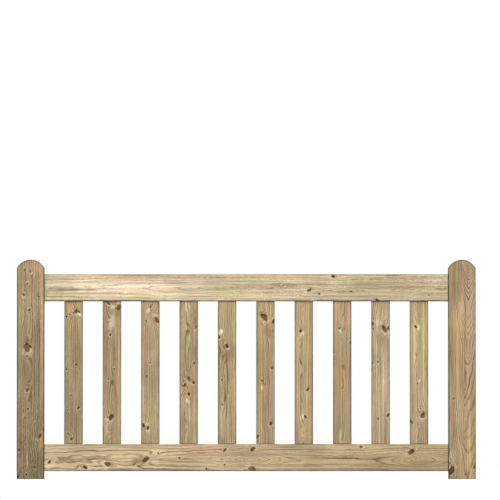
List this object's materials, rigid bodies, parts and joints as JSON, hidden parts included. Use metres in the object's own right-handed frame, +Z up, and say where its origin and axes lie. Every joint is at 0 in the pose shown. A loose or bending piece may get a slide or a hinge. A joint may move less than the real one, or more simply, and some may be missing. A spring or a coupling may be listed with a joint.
{
  "type": "wooden garden gate leaf",
  "caption": "Low, wide garden gate leaf in treated softwood: dome-topped stiles, two rails and spaced upright pales, framed with wedged through tenons.",
  "frame": {"origin": "foot of the left (hanging) stile's outer edge face, on the leaf's middle plane", "axes": "+X along the leaf from the hanging edge to the closing edge, -Y out of the front face, +Z up"},
  "size_m": [1.83, 0.045, 0.875],
  "materials": {
    "stile_timber": "planed pressure-treated pine, matt and lightly weathered",
    "rail_timber": "planed pressure-treated pine, matt and pale",
    "pale_timber": "planed pressure-treated pine, matt with many knots",
    "wedge_timber": "sawn hardwood slips, end grain showing"
  },
  "bodies": {
    "root": {"left_stile": "stile_timber", "right_stile": "stile_timber", "top_rail": "rail_timber", "bottom_rail": "rail_timber", "pale_01": "pale_timber", "pale_02": "pale_timber", "pale_03": "pale_timber", "pale_04": "pale_timber", "pale_05": "pale_timber", "pale_06": "pale_timber", "pale_07": "pale_timber", "pale_08": "pale_timber", "pale_09": "pale_timber", "pale_10": "pale_timber", "left_wedge_top_upper": "wedge_timber", "right_wedge_top_upper": "wedge_timber", "left_wedge_top_lower": "wedge_timber", "right_wedge_top_lower": "wedge_timber", "left_wedge_bottom_upper": "wedge_timber", "right_wedge_bottom_upper": "wedge_timber", "left_wedge_bottom_lower": "wedge_timber", "right_wedge_bottom_lower": "wedge_timber"}
  },
  "joints": []
}
